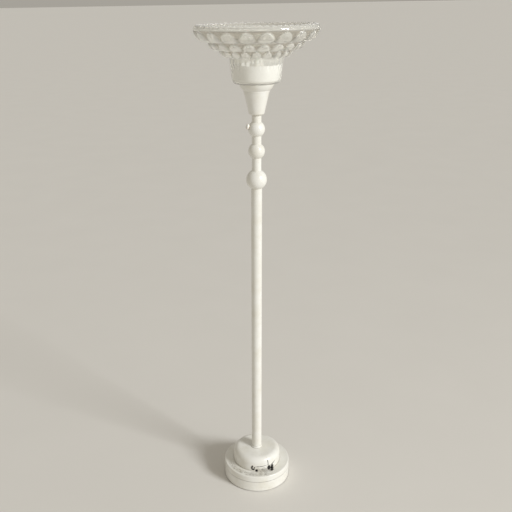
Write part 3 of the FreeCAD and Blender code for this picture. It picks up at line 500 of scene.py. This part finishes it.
rows = [ring(12, 0), ring(40, 0), ring(66, 0)]
rows += [ring(x, z) for x, z, nx, nz, share in arc(*FOOT_ARC, 7)]
for i in range(1, NECK_ROWS + 1):
    rows.append(ring(*(a + (b - a) * i / NECK_ROWS for a, b in zip(NECK_FOOT, NECK_TOP))))
for (start, end, bulge, shift), count in zip(TIERS, (18, 22, 30)):
    for x, z, nx, nz, share in arc(start, end, bulge, count, 1):
        rows.append(ring(x, z, lambda t, s=share, k=shift: petal_cut(t, s, k), (nx, nz)))
for x, z, nx, nz, share in arc(*BAND, 10, 1):
    plain = ring(x, z, lambda t, s=share: PETAL_EDGE * (1 - s), (nx, nz))
    rows.append([tuple(a + (b - a) * share ** 3 for a, b in zip(p, q))
                 for p, q in zip(plain, rim_ring(x, z, 1))])
rows += [rim_ring(x, z, 1) for x, z in RIM]
for i in range(1, LIP_ROWS):
    share = i / LIP_ROWS
    rows.append(rim_ring(RIM[-1][0] + LIP_WIDER * share, RIM[-1][1] - LIP_DROP * share, 1 - share))
inner_tiers = [((a[0] - WALL, a[1] + LEDGE), (b[0] - WALL, b[1] + LEDGE), bulge, shift)
               for a, b, bulge, shift in TIERS]
top_start, _, top_bulge, top_shift = inner_tiers[-1]
inner_tiers[-1] = (top_start, BOWL_INSIDE_TOP, top_bulge - 2, top_shift)
for (start, end, bulge, shift), count in zip(reversed(inner_tiers), (26, 18, 14)):
    for x, z, nx, nz, share in reversed(arc(start, end, bulge, count, 1)):
        rows.append(ring(x, z, lambda t, s=share, k=shift: INNER_RELIEF * petal_cut(t, s, k), (nx, nz)))
for i in range(FLUTE_ROWS):
    drop = FLUTE_STEP * i
    rows.append(ring(NECK_INSIDE_TOP[0] - NECK_TAPER * drop - NECK_FLUTE / 2, NECK_INSIDE_TOP[1] - drop,
                     lambda t, s=min(1, (FLUTE_ROWS - 1 - i) / 3): (flute(t) - NECK_FLUTE / 2) * s))
rows += [ring(x, z) for x, z in FLOOR_INSIDE]
shade = surface("pressed_glass_bowl", rows)
hollows = shade.data.attributes.new("hollow", "FLOAT", "POINT")
hollows.data.foreach_set("value", [p[3] for row in rows for p in row])

# Pressed soda glass: nearly colourless with a faint warm grey, IOR 1.52, fire-polished to a high gloss
# with a slow 18 mm ripple left by the cooling mould and a fine 3 mm chill texture. A thin film of dust
# makes it slightly milky and dulls the hollows between the petals, and painted shade darkens them.
# The rim is ground matt white.
pressed, tree, shader, place = finish("pressed_soda_glass", {"Transmission Weight": 0.78, "IOR": 1.52})
ripple = blotches(tree, place, 18 * MM, 2, 0.4)
chill = blotches(tree, place, 3 * MM, 2, 0.5)
depth = add(tree, "Attribute", {"attribute_name": "hollow"}).outputs["Fac"]
dust_and_painted_shade = between(tree, depth, 0.25, 0.95, 0, 1)
ground_edge = between(tree, depth, -0.9, -0.5, 1, 0)
# Painted shade: the hollows between the petals are darkened towards #c4beb2; the dust only dulls them.
body_colour = blend(tree, dust_and_painted_shade, blend(tree, ripple, "#f7f6f0", "#fdfdf9"), "#c4beb2")
tree.links.new(blend(tree, ground_edge, body_colour, "#ffffff"), shader.inputs["Base Color"])
dulled = add(tree, "Math", {"operation": "ADD", 0: between(tree, dust_and_painted_shade, 0, 1, 0.05, 0.3), 1: ground_edge})
tree.links.new(between(tree, dulled.outputs[0], 0, 1.3, 0, 0.9), shader.inputs["Roughness"])
emboss(tree, shader, blend(tree, 0.25, ripple, chill), 0.5 * MM, 0.6)
install(shade, pressed, "lamp", "shade_glass")
# Clear glass passes nearly all the light on, so it casts no shadow and dims nothing that stands inside it.
shade.visible_shadow = False
shade.visible_diffuse = False

# ---- Shade fastening and liner cup ----
# A fibre washer keeps the glass off the painted cup. Inside the neck stands a white enamelled cup, spun
# from aluminium, and a nut on the pipe pulls it down on a nylon bushing to hold the glass.

# Vulcanised fibre: pale grey pressed paper pulp with short random flecks.
fibre, tree, shader, place = finish("vulcanised_fibre", {"Roughness": 0.8})
flecks = blotches(tree, place, 0.9 * MM, 6, 0.7)
tree.links.new(blend(tree, flecks, "#c4bcab", "#dad4c6"), shader.inputs["Base Color"])
emboss(tree, shader, flecks, 0.08 * MM)
wear(fibre, "shade_gasket")

# Baked white enamel: cool clean white over faint spinning rings 2 mm apart, glossy.
baked, tree, shader, place = finish("baked_white_enamel", {"Roughness": 0.25, "Coat Weight": 0.3,
                                                           "Coat Roughness": 0.08})
tree.links.new(blend(tree, blotches(tree, place, 25 * MM), "#f3f3ef", "#fafaf7"), shader.inputs["Base Color"])
RINGS_PER_SCALE = 0.314
rings = add(tree, "TexWave", {"Vector": place, "bands_direction": "Z", "Scale": RINGS_PER_SCALE / (2 * MM),
                              "Distortion": 0.6})
emboss(tree, shader, rings.outputs["Fac"], 0.04 * MM, 0.6)
wear(baked, "liner_cup")
wear(brass, "liner_nut")

# ---- Lamp holder ----
# A porcelain medium-base socket on a brass cap, held by two screws, with a threaded brass shell and a
# sprung centre contact.

# Glazed porcelain: warm white under clear glaze, a few iron specks, softly pooled gloss.
porcelain, tree, shader, place = finish("glazed_porcelain", {"Roughness": 0.16, "Coat Weight": 0.6,
                                                             "Coat Roughness": 0.04, "IOR": 1.55})
specks = between(tree, blotches(tree, place, 1.1 * MM, 2), 0.72, 0.78, 0, 0.6)
tree.links.new(blend(tree, specks, "#f0ede4", "#6d5c49"), shader.inputs["Base Color"])
emboss(tree, shader, blotches(tree, place, 7 * MM, 2), 0.1 * MM, 0.5)
wear(porcelain, "socket_body")
wear(brass, "socket_cap", "socket_shell", "socket_contact")
wear(zinc, "socket_screws")

# ---- Bulb ----
# A medium-screw bulb, frosted inside, with a rolled-thread cap, a black glass insulator and a soldered
# centre contact. It unscrews upwards out of the shell.
cap_low, cap_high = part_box("bulb_cap")
CAP_RADIUS = cap_high.x
THREAD_PITCH = 3.629 * MM
THREAD_DEPTH = 1.1 * MM
THREAD_START, THREAD_END = 0.12, 0.14
CAP_WALL = 0.5 * MM
CAP_TURNS = 72
CAP_ROWS = 72


def cap_row(height, inward):
    """One ring of the rolled thread, a rounded helix that fades out at the cap's two ends."""
    share = (height - cap_low.z) / (cap_high.z - cap_low.z)
    fade = min(1, share / THREAD_START, (1 - share) / THREAD_END)
    ring_points = []
    for j in range(CAP_TURNS):
        turned = 2 * math.pi * j / CAP_TURNS
        wave = 0.5 - 0.5 * math.cos(2 * math.pi * ((height - cap_low.z) / THREAD_PITCH - j / CAP_TURNS))
        lead = CAP_RADIUS - THREAD_DEPTH * fade * wave - 0.5 * THREAD_DEPTH * max(0, 1 - share / THREAD_START)
        ring_points.append(((lead - inward) * math.cos(turned), (lead - inward) * math.sin(turned), height))
    return ring_points


heights = [cap_low.z + (cap_high.z - cap_low.z) * i / CAP_ROWS for i in range(CAP_ROWS + 1)]
cap_rows = [cap_row(h, 0) for h in heights] + [cap_row(h, CAP_WALL) for h in reversed(heights)]
cap = surface("bulb_cap_threaded", cap_rows)

# Rolled aluminium-brass: pale straw-grey metal with soft drawing marks.
rolled, tree, shader, place = finish("rolled_cap_metal", {"Metallic": 1.0, "Roughness": 0.28})
tree.links.new(blend(tree, blotches(tree, place, 5 * MM, 4), "#c9c3b2", "#dfdacb"),
               shader.inputs["Base Color"])
emboss(tree, shader, blotches(tree, place, 0.6 * MM), 0.02 * MM, 0.5)
install(cap, rolled, "bulb", "bulb_cap")
wear(phenolic, "bulb_insulator")
wear(zinc, "bulb_contact")

# Frosted glass: an even milky white from the acid-etched inside, under a smooth clear outer skin.
frosted, tree, shader, place = finish("frosted_bulb_glass", {
    "Transmission Weight": 0.1, "Roughness": 0.45, "IOR": 1.5, "Coat Weight": 1.0, "Coat Roughness": 0.03,
    "Subsurface Weight": 0.04, "Subsurface Scale": 0.002})
etched = blotches(tree, place, 2 * MM, 4)
tree.links.new(blend(tree, etched, "#f2f0e9", "#f9f7f1"), shader.inputs["Base Color"])
emboss(tree, shader, etched, 0.02 * MM, 0.3)
wear(frosted, "bulb_glass")

# ---- Supply wire ----
# Round two-core flex inside the pole, from the bushing in the base up to the lamp holder.

# Extruded sheath: ivory vinyl with a satin skin and faint lengthwise draw lines.
vinyl, tree, shader, place = finish("extruded_vinyl", {"Roughness": 0.5})
drawn = add(tree, "Mapping", {"Vector": place, "Scale": (1, 1, 0.04)}).outputs["Vector"]
lines = blotches(tree, drawn, 0.7 * MM, 2)
tree.links.new(blend(tree, lines, "#c2b8a2", "#d3cab6"), shader.inputs["Base Color"])
emboss(tree, shader, lines, 0.05 * MM)
wear(vinyl, "supply_wire")

# ---- The room ----
# A wide pale floor under an even pale sky, soft daylight from the right and above, a small window light
# beside it, and a camera at eye height that looks down.
FLOOR_HALF = 900.0
floor_mesh = bpy.data.meshes.new("floor")
floor_mesh.from_pydata([(x * FLOOR_HALF, y * FLOOR_HALF, 0) for x, y in ((-1, -1), (1, -1), (1, 1), (-1, 1))],
                       [], [(0, 1, 2, 3)])
floor = bpy.data.objects.new("floor", floor_mesh)
bpy.context.scene.collection.objects.link(floor)
plaster, tree, shader, place = finish("pale_matt_floor", {"Roughness": 0.9})
tree.links.new(blend(tree, blotches(tree, place, 0.4, 3), "#e4e1db", "#e8e5df"), shader.inputs["Base Color"])
floor.data.materials.append(plaster)

world = bpy.data.worlds.new("studio")
world.use_nodes = True
bpy.context.scene.world = world
world.node_tree.nodes["Background"].inputs["Color"].default_value = srgb("#f2ece0")
world.node_tree.nodes["Background"].inputs["Strength"].default_value = 0.43

window_light = bpy.data.lights.new("window", "AREA")
window_light.shape = "RECTANGLE"
window_light.size, window_light.size_y = 1.6, 2.0
window_light.energy = 16
window_light.color = srgb("#fffefb")[:3]
window = bpy.data.objects.new("window", window_light)
WINDOW_PLACE, WINDOW_AIM = Vector((2.6, -1.9, 1.7)), Vector((0, 0, 1.1))
window.location = WINDOW_PLACE
window.rotation_euler = (WINDOW_AIM - WINDOW_PLACE).to_track_quat("-Z", "Y").to_euler()
bpy.context.scene.collection.objects.link(window)

daylight = bpy.data.lights.new("daylight", "SUN")
daylight.energy = 2.05
daylight.angle = math.radians(16)
daylight.color = srgb("#fbfdff")[:3]
sun = bpy.data.objects.new("daylight", daylight)
SUN_DIRECTION = Vector((-0.83, 0.56, -0.55))
sun.rotation_euler = SUN_DIRECTION.to_track_quat("-Z", "Y").to_euler()
bpy.context.scene.collection.objects.link(sun)
bpy.context.scene.view_settings.view_transform = "Standard"

camera_data = bpy.data.cameras.new("camera")
camera = bpy.data.objects.new("camera", camera_data)
bpy.context.scene.collection.objects.link(camera)
bpy.context.scene.camera = camera
camera_data.lens = 47.25
camera_data.sensor_width = 36.0
camera_data.shift_x = 0.058
CAMERA_PLACE = (0, -2.2616, 1.788)
CAMERA_TURN, CAMERA_DOWN, CAMERA_ROLL = math.radians(2.762), math.radians(20.65), math.radians(1.0)
ahead = Vector((-math.sin(CAMERA_TURN) * math.cos(CAMERA_DOWN), math.cos(CAMERA_TURN) * math.cos(CAMERA_DOWN),
                -math.sin(CAMERA_DOWN)))
right = Vector((math.cos(CAMERA_TURN), math.sin(CAMERA_TURN), 0))
down = ahead.cross(right)
rolled_right = right * math.cos(CAMERA_ROLL) + down * math.sin(CAMERA_ROLL)
rolled_down = -right * math.sin(CAMERA_ROLL) + down * math.cos(CAMERA_ROLL)
axes = Matrix((rolled_right, -rolled_down, -ahead)).transposed()
camera.matrix_world = Matrix.Translation(CAMERA_PLACE) @ axes.to_4x4()
